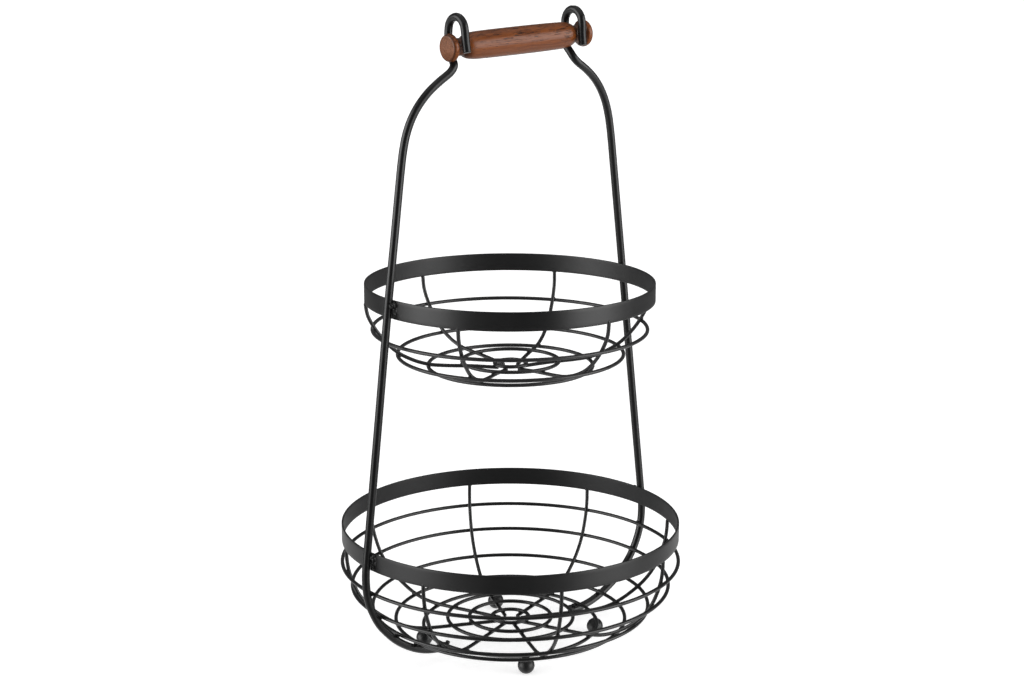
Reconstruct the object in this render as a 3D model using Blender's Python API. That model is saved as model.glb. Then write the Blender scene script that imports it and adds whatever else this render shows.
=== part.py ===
# Two-tier wire etagere: two round wire bowls with flat-bar rims, carried one
# above the other by two bent uprights, with a turned wooden grip held in the
# hooks at the uprights' tops.  Metres, +Z up, feet on z = 0, the uprights near
# the XZ plane, the hooks open towards -Y.
import math

import bmesh
import bpy
from mathutils import Vector

MM = 0.001

# ---------------------------------------------------------------- dimensions
GAP = 0.3 * MM                      # between pieces that touch or are welded

THIN_WIRE = 2.5 * MM                # rings and ribs
THICK_WIRE = 6.0 * MM               # uprights
BAND_HEIGHT = 15.0 * MM             # flat bar of both rims
BAND_THICKNESS = 1.5 * MM

FOOT_DIAMETER = 13.5 * MM
FOOT_FLAT_DIAMETER = 4.0 * MM       # small flat that meets the table
FOOT_CIRCLE_RADIUS = 73.0 * MM
FOOT_PHASE = 62.1                   # degrees from +X

LOWER_RIM_RADIUS = 140.0 * MM       # outside of the lower band
LOWER_DEPTH = 90.1 * MM             # rim top to the centre of the spokes
UPPER_RIM_RADIUS = 117.5 * MM       # outside of the upper band
TIER_SPACING = 201.2 * MM           # rim top to rim top

# ribs: degrees from +X at the rim, and how far each leans sideways, in mm
# anticlockwise per 80 mm of depth
LOWER_RIB_ANGLES = (22.5, 67.2, 112.4, 157.9, 203.0, 248.5, 293.6, 337.6)
LOWER_RIB_LEANS = (-1.1, 1.8, 0.6, 0.7, 0.4, -0.2, -0.1, 0.7)
UPPER_RIB_ANGLES = (33.3, 92.0, 151.5, 212.2, 272.1, 334.2)
UPPER_RIB_LEANS = (-3.0, -1.2, 0.0, 0.0, 0.6, 0.6)

# rib centre line, lower bowl: (radius, height below the rim top) in mm
LOWER_RIB_PROFILE = (
    (139.1, -15.3), (138.6, -24.2), (137.15, -33.3), (134.0, -43.5),
    (129.2, -54.2), (122.1, -64.2), (113.3, -72.6), (97.8, -82.9),
    (86.4, -87.5), (77.5, -89.25), (69.0, -89.9), (58.0, -90.05),
    (36.0, -90.1), (9.6, -90.1),
)
# rib centre line, upper bowl; its spokes sag towards the middle
UPPER_RIB_PROFILE = (
    (116.9, -15.3), (115.4, -25.2), (109.5, -37.1), (99.8, -49.4),
    (90.5, -57.3), (80.5, -62.6), (72.9, -65.4), (65.2, -67.3),
    (54.1, -68.5), (32.1, -69.8), (9.8, -71.9),
)

# rings: (name, radius, height below the rim top).  Wall rings are outside
# and under the ribs, floor rings on top of the spokes, except the outer one
# of the upper bowl, which is under them.
LOWER_RINGS = (
    ("lower_wall_ring_1", 139.92, -34.05),
    ("lower_wall_ring_2", 131.98, -55.06),
    ("lower_wall_ring_3", 115.45, -74.60),
    ("lower_wall_ring_4", 96.50, -86.85),
    ("lower_floor_ring_outer", 52.7, -87.22),
    ("lower_floor_ring_middle", 34.4, -87.24),
    ("lower_floor_ring_center", 15.4, -87.24),
)
UPPER_RINGS = (
    ("upper_wall_ring_1", 112.05, -38.45),
    ("upper_wall_ring_2", 91.95, -59.80),
    ("upper_floor_ring_outer", 67.15, -69.90),
    ("upper_floor_ring_middle", 39.55, -66.45),
    ("upper_floor_ring_center", 12.90, -68.70),
)

# upright centre lines, from under the lower bowl to the cut end of the hook:
# (distance from the middle, y, height above the lower rim top) in mm
LEFT_ROUTE = (
    (67.5, 0.3, -97.62), (76.0, 0.2, -97.42), (88.0, 0.0, -95.15),
    (98.3, -0.3, -91.3), (107.8, -0.6, -86.1), (117.4, -0.8, -79.2),
    (125.7, -1.0, -71.2), (133.0, -1.2, -62.6), (138.8, -1.3, -52.3),
    (143.15, -1.2, -41.0), (145.2, -1.1, -29.0), (145.35, -0.9, -18.0),
    (144.5, -0.7, -8.0), (143.35, -0.6, 1.0), (132.1, -1.4, 100.0),
    (120.85, -2.2, 200.5), (113.35, -1.05, 252.0), (108.45, -0.5, 287.3),
    (105.92, -0.37, 305.1), (103.92, -0.44, 316.9), (101.1, -0.9, 328.6),
    (96.84, -2.0, 339.8), (90.75, -3.45, 350.1), (82.8, -4.95, 359.15),
    (73.4, -6.3, 366.7), (68.5, -6.95, 370.0), (63.7, -7.4, 373.5),
    (60.3, -6.5, 377.3), (58.75, -3.6, 380.7), (58.45, -0.1, 383.35),
    (58.3, 2.25, 386.3), (58.2, 3.4, 389.3), (58.15, 3.6, 393.0),
    (58.1, 3.5, 397.6), (58.0, 3.3, 403.65),
    (57.9, 2.25, 409.0), (57.8, -1.2, 413.0), (57.7, -6.4, 414.65),
    (57.6, -11.5, 413.5), (57.55, -15.5, 409.8), (57.5, -17.2, 404.3),
    (57.45, -17.9, 398.3), (57.4, -18.9, 392.3), (57.4, -19.9, 388.3),
)
RIGHT_ROUTE = (
    (67.5, 0.3, -97.62), (76.0, 0.2, -97.42), (88.0, 0.1, -95.15),
    (98.3, 0.0, -91.3), (107.8, -0.2, -86.1), (117.4, -0.5, -79.2),
    (125.7, -0.7, -71.2), (133.0, -0.8, -62.6), (138.8, -0.9, -52.3),
    (143.15, -0.9, -41.0), (145.2, -1.0, -29.0), (145.35, -1.1, -18.0),
    (144.5, -1.2, -8.0), (143.35, -1.2, 1.0), (132.1, 0.3, 100.0),
    (120.85, 1.7, 200.5), (113.35, 0.55, 252.0), (108.45, 0.1, 287.3),
    (105.92, -0.21, 305.1), (103.92, -0.51, 316.9), (101.1, -1.1, 328.6),
    (96.86, -1.97, 339.8), (90.75, -3.15, 350.1), (82.8, -4.6, 359.2),
    (73.4, -6.05, 366.8), (68.5, -6.5, 370.1), (63.5, -6.6, 373.5),
    (59.9, -5.4, 377.6), (59.0, -2.0, 381.9), (58.7, 2.1, 386.1),
    (58.65, 4.1, 391.7), (58.6, 4.2, 397.6), (58.55, 4.1, 403.65),
    (58.5, 3.2, 409.4), (58.4, -0.55, 414.0), (58.35, -6.2, 415.9),
    (58.3, -12.0, 414.5), (58.15, -16.3, 410.2), (58.0, -17.75, 404.3),
    (57.8, -18.2, 398.3), (57.6, -19.0, 392.3), (57.5, -19.9, 388.3),
)

GRIP_CENTER_X = 1.8 * MM
GRIP_Y = -6.8 * MM
GRIP_HEIGHT = 393.95 * MM           # axis at x = 0, above the lower rim top
GRIP_TILT = 2.2                     # degrees, right end up
# turned profile, one half: (distance from the middle, radius) in mm
GRIP_PROFILE = (
    (0.0, 11.00), (18.0, 10.95), (34.0, 10.80), (42.0, 10.60),
    (46.0, 10.30), (49.0, 9.85), (51.0, 9.30), (52.5, 8.62),
    (53.6, 7.88), (54.4, 7.20), (54.8, 6.90),
    (60.8, 6.90), (61.8, 7.10), (62.5, 7.55), (63.1, 8.22), (63.6, 9.10),
    (63.9, 9.80), (64.4, 10.40), (65.2, 10.70), (66.2, 10.76),
    (67.2, 10.60), (68.1, 10.22), (68.6, 9.80), (68.9, 9.30),
)

WELD_LENGTH = 11.5 * MM
WELD_WIDTH = 5.2 * MM

WIDE_RING_SEGMENTS = 48             # rings over 80 mm in radius
RING_SEGMENTS = 36
SMALL_RING_SEGMENTS = 24            # rings under 45 mm in radius
BAND_SEGMENTS = 72

# ------------------------------------------------------------ derived heights
FOOT_CENTER_Z = math.sqrt((FOOT_DIAMETER / 2) ** 2
                          - (FOOT_FLAT_DIAMETER / 2) ** 2)
FOOT_RING_Z = FOOT_CENTER_Z + FOOT_DIAMETER / 2 + GAP + THIN_WIRE / 2
LOWER_FLOOR_WIRE_Z = FOOT_RING_Z + THIN_WIRE + GAP
LOWER_RIM_Z = LOWER_FLOOR_WIRE_Z + LOWER_DEPTH
UPPER_RIM_Z = LOWER_RIM_Z + TIER_SPACING


# ------------------------------------------------------------------ materials
def material(name, color, roughness, metallic):
    mat = bpy.data.materials.new(name)
    mat.use_nodes = True
    bsdf = mat.node_tree.nodes["Principled BSDF"]
    bsdf.inputs["Base Color"].default_value = (*color, 1.0)
    bsdf.inputs["Roughness"].default_value = roughness
    bsdf.inputs["Metallic"].default_value = metallic
    mat.diffuse_color = (*color, 1.0)
    return mat


# ------------------------------------------------------------ geometry helpers
def smooth_curve(points, step_angle=7.0, longest=60 * MM, dense=24):
    """Points along a centripetal Catmull-Rom curve through the given ones,
    closer together where the curve turns."""
    pts = [Vector(p) for p in points]
    ctrl = [pts[0] * 2 - pts[1]] + pts + [pts[-1] * 2 - pts[-2]]
    fine = []
    for i in range(1, len(ctrl) - 2):
        p0, p1, p2, p3 = ctrl[i - 1:i + 3]
        t0 = 0.0
        t1 = t0 + math.sqrt((p1 - p0).length)
        t2 = t1 + math.sqrt((p2 - p1).length)
        t3 = t2 + math.sqrt((p3 - p2).length)
        for k in range(dense):
            t = t1 + (t2 - t1) * k / dense
            a1 = p0 * ((t1 - t) / (t1 - t0)) + p1 * ((t - t0) / (t1 - t0))
            a2 = p1 * ((t2 - t) / (t2 - t1)) + p2 * ((t - t1) / (t2 - t1))
            a3 = p2 * ((t3 - t) / (t3 - t2)) + p3 * ((t - t2) / (t3 - t2))
            b1 = a1 * ((t2 - t) / (t2 - t0)) + a2 * ((t - t0) / (t2 - t0))
            b2 = a2 * ((t3 - t) / (t3 - t1)) + a3 * ((t - t1) / (t3 - t1))
            fine.append(b1 * ((t2 - t) / (t2 - t1))
                        + b2 * ((t - t1) / (t2 - t1)))
    fine.append(pts[-1])
    kept = [fine[0]]
    turned = 0.0
    since = 0.0
    for a, b, c in zip(fine, fine[1:], fine[2:]):
        since += (b - a).length
        turned += math.degrees((b - a).angle(c - b, 0.0))
        if turned >= step_angle or since >= longest:
            kept.append(b)
            turned = 0.0
            since = 0.0
    kept.append(fine[-1])
    return kept


def finish(obj, mat, parent):
    obj.data.materials.append(mat)
    bpy.context.scene.collection.objects.link(obj)
    obj.parent = parent
    return obj


def wire(name, points, diameter, mat, parent, cyclic=False, resolution=1):
    """Round wire along a polyline, with closed ends."""
    curve = bpy.data.curves.new(name, "CURVE")
    curve.dimensions = "3D"
    curve.twist_mode = "Z_UP" if cyclic else "MINIMUM"
    curve.bevel_depth = diameter / 2
    curve.bevel_resolution = resolution
    curve.resolution_u = 1
    curve.render_resolution_u = 0
    curve.use_fill_caps = True
    spline = curve.splines.new("POLY")
    spline.points.add(len(points) - 1)
    for p, co in zip(spline.points, points):
        p.co = (*co, 1.0)
    spline.use_cyclic_u = cyclic
    spline.use_smooth = True
    return finish(bpy.data.objects.new(name, curve), mat, parent)


def ring_points(radius, z, corners):
    """Points of a ring with one at each of the given angles, in degrees, and
    evenly spaced ones between."""
    count = RING_SEGMENTS
    if radius > 80 * MM:
        count = WIDE_RING_SEGMENTS
    elif radius < 45 * MM:
        count = SMALL_RING_SEGMENTS
    each = count // len(corners)
    angles = sorted(c % 360.0 for c in corners)
    angles.append(angles[0] + 360.0)
    out = []
    for a, b in zip(angles, angles[1:]):
        for k in range(each):
            t = math.radians(a + (b - a) * k / each)
            out.append(Vector((radius * math.cos(t), radius * math.sin(t),
                               z)))
    return out


def turned(name, profile, mat, parent, segments, closed=False, axis="Z"):
    """Solid of revolution.  profile: (radius, height) pairs."""
    bm = bmesh.new()
    verts = [bm.verts.new((r, 0.0, h)) for r, h in profile]
    edges = [bm.edges.new(pair) for pair in zip(verts, verts[1:])]
    if closed:
        edges.append(bm.edges.new((verts[-1], verts[0])))
    bmesh.ops.spin(bm, geom=verts + edges, cent=(0, 0, 0), axis=(0, 0, 1),
                   angle=2 * math.pi, steps=segments, use_merge=True)
    bmesh.ops.remove_doubles(bm, verts=bm.verts, dist=1e-6)
    bmesh.ops.recalc_face_normals(bm, faces=bm.faces)
    if axis == "X":
        for v in bm.verts:
            x, y, z = v.co
            v.co = (z, y, -x)
    mesh = bpy.data.meshes.new(name)
    bm.to_mesh(mesh)
    bm.free()
    mesh.shade_smooth()
    mesh.set_sharp_from_angle(angle=math.radians(35))
    return finish(bpy.data.objects.new(name, mesh), mat, parent)


# -------------------------------------------------------------------- pieces
def band(name, radius, rim_z, mat, parent):
    inner = radius - BAND_THICKNESS
    profile = [(inner, -BAND_HEIGHT), (radius, -BAND_HEIGHT),
               (radius, 0.0), (inner, 0.0)]
    obj = turned(name, profile, mat, parent, BAND_SEGMENTS, closed=True)
    obj.location.z = rim_z
    return obj


def lean_at(lean, z):
    """Sideways shift in mm of a rib at height z below its rim top."""
    return lean * -z / 80.0


def ribs(prefix, angles, leans, profile, rim_z, mat, parent):
    line = smooth_curve([(r * MM, 0.0, z * MM) for r, z in profile],
                        step_angle=9.0)
    for i, (angle, lean) in enumerate(zip(angles, leans)):
        a = math.radians(angle)
        out = Vector((math.cos(a), math.sin(a), 0.0))
        side = Vector((-math.sin(a), math.cos(a), 0.0))
        pts = [out * p.x + side * (lean_at(lean, p.z / MM) * MM)
               + Vector((0.0, 0.0, rim_z + p.z)) for p in line]
        wire(f"{prefix}_rib_{i + 1}", pts, THIN_WIRE, mat, parent)


def rings(specs, angles, leans, rim_z, mat, parent):
    for name, radius, z in specs:
        corners = [a + math.degrees(math.atan2(lean_at(lean, z), radius))
                   for a, lean in zip(angles, leans)]
        wire(name, ring_points(radius * MM, rim_z + z * MM, corners),
             THIN_WIRE, mat, parent, cyclic=True)


def foot(name, angle, mat, parent):
    r = FOOT_DIAMETER / 2
    low = math.asin(FOOT_CENTER_Z / r)
    steps = 8
    profile = [(0.0, -FOOT_CENTER_Z)]
    for i in range(steps):
        a = -low + (low + math.pi / 2) * i / steps
        profile.append((r * math.cos(a), r * math.sin(a)))
    profile.append((0.0, r))
    obj = turned(name, profile, mat, parent, 16)
    a = math.radians(angle)
    obj.location = (FOOT_CIRCLE_RADIUS * math.cos(a),
                    FOOT_CIRCLE_RADIUS * math.sin(a), FOOT_CENTER_Z)
    return obj


def upright(name, side, route, mat, parent):
    """side -1 for the left one, +1 for the right one."""
    line = smooth_curve([(side * x * MM, y * MM, LOWER_RIM_Z + z * MM)
                         for x, y, z in route])
    return wire(name, line, THICK_WIRE, mat, parent, resolution=2)


def upright_y(route, height):
    """y of an upright where its outer side passes a height, both in mm."""
    for (_, y0, z0), (_, y1, z1) in zip(route, route[1:]):
        if z0 <= height <= z1:
            return y0 + (y1 - y0) * (height - z0) / (z1 - z0)
    return route[0][1]


def weld(name, side, route, rim_radius, rim_z, mat, parent):
    """Bead in the corner between an upright and a band, on the right-hand
    side as seen from outside, its top just above the band's edge."""
    r = WELD_WIDTH / 2
    half = WELD_LENGTH / 2
    profile = [(0.0, -half)]
    for i in range(1, 8):
        a = -math.pi / 2 + math.pi * i / 8
        profile.append((r * math.cos(a), half * math.sin(a)))
    profile.append((0.0, half))
    obj = turned(name, profile, mat, parent, 12)
    upright_x = rim_radius + GAP + THICK_WIRE / 2
    y = upright_y(route, (rim_z - LOWER_RIM_Z - half) / MM) * MM
    y += side * (THICK_WIRE / 2 + 2 * GAP + r)
    obj.location = (side * (upright_x + 0.6 * MM), y,
                    rim_z + 0.8 * MM - half)
    obj.rotation_euler.y = side * math.radians(-6.4)
    return obj


def grip(name, mat, parent):
    half = [(r * MM, u * MM) for u, r in GRIP_PROFILE]
    profile = [(0.0, -half[-1][1])]
    profile += [(r, -u) for r, u in reversed(half)]
    profile += half[1:]
    profile.append((0.0, half[-1][1]))
    obj = turned(name, profile, mat, parent, 24, axis="X")
    tilt = math.radians(GRIP_TILT)
    obj.location = (GRIP_CENTER_X, GRIP_Y, LOWER_RIM_Z + GRIP_HEIGHT
                    + GRIP_CENTER_X * math.tan(tilt))
    obj.rotation_euler.y = -tilt
    return obj


def main():
    for obj in list(bpy.data.objects):
        bpy.data.objects.remove(obj, do_unlink=True)

    black = material("black_powder_coat", (0.022, 0.022, 0.023), 0.42, 0.0)
    band_black = material("black_powder_coat_band", (0.026, 0.026, 0.027),
                          0.45, 0.0)
    wood = material("oiled_hardwood", (0.21, 0.075, 0.035), 0.5, 0.0)

    frame = bpy.data.objects.new("etagere_frame", None)
    bpy.context.scene.collection.objects.link(frame)

    band("lower_rim_band", LOWER_RIM_RADIUS, LOWER_RIM_Z, band_black, frame)
    ribs("lower", LOWER_RIB_ANGLES, LOWER_RIB_LEANS, LOWER_RIB_PROFILE,
         LOWER_RIM_Z, black, frame)
    rings(LOWER_RINGS, LOWER_RIB_ANGLES, LOWER_RIB_LEANS, LOWER_RIM_Z, black,
          frame)
    feet_at = [FOOT_PHASE + 90.0 * i for i in range(4)]
    wire("foot_ring", ring_points(FOOT_CIRCLE_RADIUS, FOOT_RING_Z, feet_at),
         THIN_WIRE, black, frame, cyclic=True)
    for angle, place in zip(feet_at, ("back_right", "back_left",
                                      "front_left", "front_right")):
        foot(f"ball_foot_{place}", angle, black, frame)

    band("upper_rim_band", UPPER_RIM_RADIUS, UPPER_RIM_Z, band_black, frame)
    ribs("upper", UPPER_RIB_ANGLES, UPPER_RIB_LEANS, UPPER_RIB_PROFILE,
         UPPER_RIM_Z, black, frame)
    rings(UPPER_RINGS, UPPER_RIB_ANGLES, UPPER_RIB_LEANS, UPPER_RIM_Z, black,
          frame)

    for name, side, route in (("left", -1, LEFT_ROUTE),
                              ("right", 1, RIGHT_ROUTE)):
        upright(f"{name}_upright", side, route, black, frame)
        weld(f"lower_{name}_weld_bead", side, route, LOWER_RIM_RADIUS,
             LOWER_RIM_Z, black, frame)
        weld(f"upper_{name}_weld_bead", side, route, UPPER_RIM_RADIUS,
             UPPER_RIM_Z, black, frame)

    grip("wooden_grip", wood, frame)


main()
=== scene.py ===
import math

import bmesh
import bpy
import numpy as np
from mathutils import Matrix, Vector


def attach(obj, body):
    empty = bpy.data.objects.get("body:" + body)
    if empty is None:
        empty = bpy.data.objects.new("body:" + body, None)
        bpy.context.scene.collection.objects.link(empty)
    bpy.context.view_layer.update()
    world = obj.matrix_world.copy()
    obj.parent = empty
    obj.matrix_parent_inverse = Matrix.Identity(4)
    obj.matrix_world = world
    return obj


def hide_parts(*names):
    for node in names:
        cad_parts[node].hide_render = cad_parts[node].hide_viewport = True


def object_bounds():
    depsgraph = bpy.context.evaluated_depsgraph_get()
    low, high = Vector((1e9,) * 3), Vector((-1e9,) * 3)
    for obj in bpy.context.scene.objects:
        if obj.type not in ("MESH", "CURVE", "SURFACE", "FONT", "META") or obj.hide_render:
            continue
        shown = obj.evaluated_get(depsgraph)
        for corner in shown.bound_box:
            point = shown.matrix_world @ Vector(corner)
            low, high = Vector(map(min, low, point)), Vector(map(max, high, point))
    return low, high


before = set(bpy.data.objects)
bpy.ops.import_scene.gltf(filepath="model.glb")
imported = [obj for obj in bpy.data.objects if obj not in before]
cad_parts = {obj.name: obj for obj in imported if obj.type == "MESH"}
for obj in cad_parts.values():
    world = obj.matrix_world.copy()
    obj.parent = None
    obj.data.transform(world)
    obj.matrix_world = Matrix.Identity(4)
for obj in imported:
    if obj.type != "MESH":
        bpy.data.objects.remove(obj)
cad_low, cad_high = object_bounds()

# Looks of the two-tier wire etagere.  Every wire, band, foot, bead and the
# grip is a finer surface on the same centre lines as the solids, with the
# powder coat and the oiled wood as node materials.  Lengths below are in mm
# and turned into metres by MM.
MM = 0.001

# ------------------------------------------------------------------ the frame
THIN = 1.25            # wire radius, rings and ribs
COATED = 1.54          # the same with its thick coat
THICK = 3.0            # wire radius, uprights
THICK_COATED = 3.2     # the same with its coat
BAND_H, BAND_T = 15.0, 1.5
FOOT_R, FOOT_FLAT_R, FOOT_CIRCLE, FOOT_PHASE = 6.75, 2.0, 73.0, 62.1
LOWER_R, LOWER_DEPTH = 140.0, 90.1
UPPER_R = 117.5
TIER = 201.2
GAP = 0.3

FOOT_Z = math.sqrt(FOOT_R ** 2 - FOOT_FLAT_R ** 2)
FOOT_RING_Z = FOOT_Z + FOOT_R + GAP + THIN
LOWER_Z = FOOT_RING_Z + 2 * THIN + GAP + LOWER_DEPTH
UPPER_Z = LOWER_Z + TIER

CLOSER = 0.02          # rings sit this much nearer the ribs than the solids do
# these two are pressed into their welds
SUNK = {"lower_wall_ring_3": 0.36, "lower_wall_ring_4": 0.45}
# rings bent at one side: degrees from +X, mm inward, mm down
SAGS = {"lower_wall_ring_4": (52.0, 0.90, 0.90),
        "upper_wall_ring_1": (322.0, 0.95, 0.45)}
# the upper rim is out of round: degrees from +X, mm outward there, and the mm
# that it gives up on the far side
OVAL = {"upper_rim_band": (142.0, 0.75, 0.20)}
RIB_TOPS = {"upper_rib_3": 0.9}         # mm further out at the rim

# ribs: degrees from +X at the rim, and sideways lean in mm per 80 mm of depth
LOWER_RIB_ANGLES = (22.5, 67.2, 112.4, 157.9, 203.0, 248.5, 293.6, 337.6)
LOWER_RIB_LEANS = (-1.1, 1.8, 0.6, 0.7, 0.4, -0.2, -0.1, 0.7)
UPPER_RIB_ANGLES = (33.3, 92.0, 151.5, 212.2, 272.1, 334.2)
UPPER_RIB_LEANS = (-3.0, -1.2, 0.0, 0.0, 0.6, 0.6)

# (radius, height below the rim top)
LOWER_RIB = (
    (139.1, -15.3), (138.6, -24.2), (137.15, -33.3), (134.0, -43.5),
    (129.2, -54.2), (122.1, -64.2), (113.3, -72.6), (97.8, -82.9),
    (86.4, -87.5), (77.5, -89.25), (69.0, -89.9), (58.0, -90.05),
    (36.0, -90.1), (9.6, -90.1),
)
UPPER_RIB = (
    (116.9, -15.3), (115.4, -25.2), (109.5, -37.1), (99.8, -49.4),
    (90.5, -57.3), (80.5, -62.6), (72.9, -65.4), (65.2, -67.3),
    (54.1, -68.5), (32.1, -69.8), (9.8, -71.9),
)
LOWER_RINGS = (
    ("lower_wall_ring_1", 139.92, -34.05),
    ("lower_wall_ring_2", 131.98, -55.06),
    ("lower_wall_ring_3", 115.45, -74.60),
    ("lower_wall_ring_4", 96.50, -86.85),
    ("lower_floor_ring_outer", 52.7, -87.22),
    ("lower_floor_ring_middle", 34.4, -87.24),
    ("lower_floor_ring_center", 15.4, -87.24),
)
UPPER_RINGS = (
    ("upper_wall_ring_1", 112.05, -38.45),
    ("upper_wall_ring_2", 91.95, -59.80),
    ("upper_floor_ring_outer", 67.15, -69.90),
    ("upper_floor_ring_middle", 39.55, -66.45),
    ("upper_floor_ring_center", 12.90, -68.70),
)

# (distance from the middle, y, height above the lower rim top)
LEFT_ROUTE = (
    (67.5, 0.3, -97.62), (76.0, 0.2, -97.42), (88.0, 0.0, -95.15),
    (98.3, -0.3, -91.3), (107.8, -0.6, -86.1), (117.4, -0.8, -79.2),
    (125.7, -1.0, -71.2), (133.0, -1.2, -62.6), (138.8, -1.3, -52.3),
    (143.15, -1.2, -41.0), (145.2, -1.1, -29.0), (145.35, -0.9, -18.0),
    (144.5, -0.7, -8.0), (143.35, -0.6, 1.0), (132.1, -1.4, 100.0),
    (120.85, -2.2, 200.5), (113.35, -1.05, 252.0), (108.45, -0.5, 287.3),
    (105.92, -0.37, 305.1), (103.92, -0.44, 316.9), (101.1, -0.9, 328.6),
    (96.84, -2.0, 339.8), (90.75, -3.45, 350.1), (82.8, -4.95, 359.15),
    (73.4, -6.3, 366.7), (68.5, -6.95, 370.0), (63.7, -7.4, 373.5),
    (60.3, -6.5, 377.3), (58.75, -3.6, 380.7), (58.45, -0.1, 383.35),
    (58.3, 2.25, 386.3), (58.2, 3.4, 389.3), (58.15, 3.6, 393.0),
    (58.1, 3.5, 397.6), (58.0, 3.3, 403.65),
    (57.9, 2.25, 409.0), (57.8, -1.2, 413.0), (57.7, -6.4, 414.65),
    (57.6, -11.5, 413.5), (57.55, -15.5, 409.8), (57.5, -17.2, 404.3),
    (57.45, -17.9, 398.3), (57.4, -18.9, 392.3), (57.4, -19.9, 388.3),
)
RIGHT_ROUTE = (
    (67.5, 0.3, -97.62), (76.0, 0.2, -97.42), (88.0, 0.1, -95.15),
    (98.3, 0.0, -91.3), (107.8, -0.2, -86.1), (117.4, -0.5, -79.2),
    (125.7, -0.7, -71.2), (133.0, -0.8, -62.6), (138.8, -0.9, -52.3),
    (143.15, -0.9, -41.0), (145.2, -1.0, -29.0), (145.35, -1.1, -18.0),
    (144.5, -1.2, -8.0), (143.35, -1.2, 1.0), (132.1, 0.3, 100.0),
    (120.85, 1.7, 200.5), (113.35, 0.55, 252.0), (108.45, 0.1, 287.3),
    (105.92, -0.21, 305.1), (103.92, -0.51, 316.9), (101.1, -1.1, 328.6),
    (96.86, -1.97, 339.8), (90.75, -3.15, 350.1), (82.8, -4.6, 359.2),
    (73.4, -6.05, 366.8), (68.5, -6.5, 370.1), (63.5, -6.6, 373.5),
    (59.9, -5.4, 377.6), (59.0, -2.0, 381.9), (58.7, 2.1, 386.1),
    (58.65, 4.1, 391.7), (58.6, 4.2, 397.6), (58.55, 4.1, 403.65),
    (58.5, 3.2, 409.4), (58.4, -0.55, 414.0), (58.35, -6.2, 415.9),
    (58.3, -12.0, 414.5), (58.15, -16.3, 410.2), (58.0, -17.75, 404.3),
    (57.8, -18.2, 398.3), (57.6, -19.0, 392.3), (57.5, -19.9, 388.3),
)

GRIP_X, GRIP_Y, GRIP_Z, GRIP_TILT = 1.8, -6.8, 393.95, 2.2
GRIP_ORIGIN = Vector((GRIP_X, GRIP_Y, LOWER_Z + GRIP_Z
                      + GRIP_X * math.tan(math.radians(GRIP_TILT))))


# --------------------------------------------------------------- mesh helpers
def waves(t, seed, orders=(2, 3, 5, 7)):
    """A small repeatable wobble, -1 to 1, with t once round 0 to 1."""
    out = np.zeros_like(np.asarray(t, float))
    for k, n in enumerate(orders):
        phase = (seed * 12.9898 + n * 4.1414 + k * 78.233) % (2 * math.pi)
        out += np.sin(2 * math.pi * n * np.asarray(t) + phase) / (k + 1.5)
    return out / 1.6


BOX_LOW = np.array(list(cad_low)) + 2e-6
BOX_HIGH = np.array(list(cad_high)) - 2e-6


def mesh_object(name, verts, faces, sharp=35.0, clip=True):
    mesh = bpy.data.meshes.new(name)
    if clip:
        verts = np.clip(np.asarray(verts), BOX_LOW, BOX_HIGH)
    mesh.from_pydata([tuple(v) for v in verts], [], faces)
    mesh.validate()
    mesh.shade_smooth()
    if sharp:
        mesh.set_sharp_from_angle(angle=math.radians(sharp))
    obj = bpy.data.objects.new(name, mesh)
    bpy.context.scene.collection.objects.link(obj)
    return obj


def catmull(points, step):
    """Evenly stepped points along a centripetal Catmull-Rom curve, in mm."""
    pts = np.asarray(points, float)
    ctrl = np.vstack([2 * pts[0] - pts[1], pts, 2 * pts[-1] - pts[-2]])
    out = []
    for i in range(1, len(ctrl) - 2):
        p0, p1, p2, p3 = ctrl[i - 1:i + 3]
        t0 = 0.0
        t1 = t0 + math.sqrt(np.linalg.norm(p1 - p0))
        t2 = t1 + math.sqrt(np.linalg.norm(p2 - p1))
        t3 = t2 + math.sqrt(np.linalg.norm(p3 - p2))
        t = np.linspace(t1, t2, 60, endpoint=False)[:, None]
        a1 = p0 * (t1 - t) / (t1 - t0) + p1 * (t - t0) / (t1 - t0)
        a2 = p1 * (t2 - t) / (t2 - t1) + p2 * (t - t1) / (t2 - t1)
        a3 = p2 * (t3 - t) / (t3 - t2) + p3 * (t - t2) / (t3 - t2)
        b1 = a1 * (t2 - t) / (t2 - t0) + a2 * (t - t0) / (t2 - t0)
        b2 = a2 * (t3 - t) / (t3 - t1) + a3 * (t - t1) / (t3 - t1)
        out.append(b1 * (t2 - t) / (t2 - t1) + b2 * (t - t1) / (t2 - t1))
    out.append(pts[-1:])
    return resample(np.vstack(out), step)


def resample(line, step):
    d = np.linalg.norm(np.diff(line, axis=0), axis=1)
    s = np.concatenate([[0.0], np.cumsum(d)])
    n = max(2, int(round(s[-1] / step)))
    u = np.linspace(0.0, s[-1], n + 1)
    return np.stack([np.interp(u, s, line[:, k]) for k in range(3)], 1)


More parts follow.
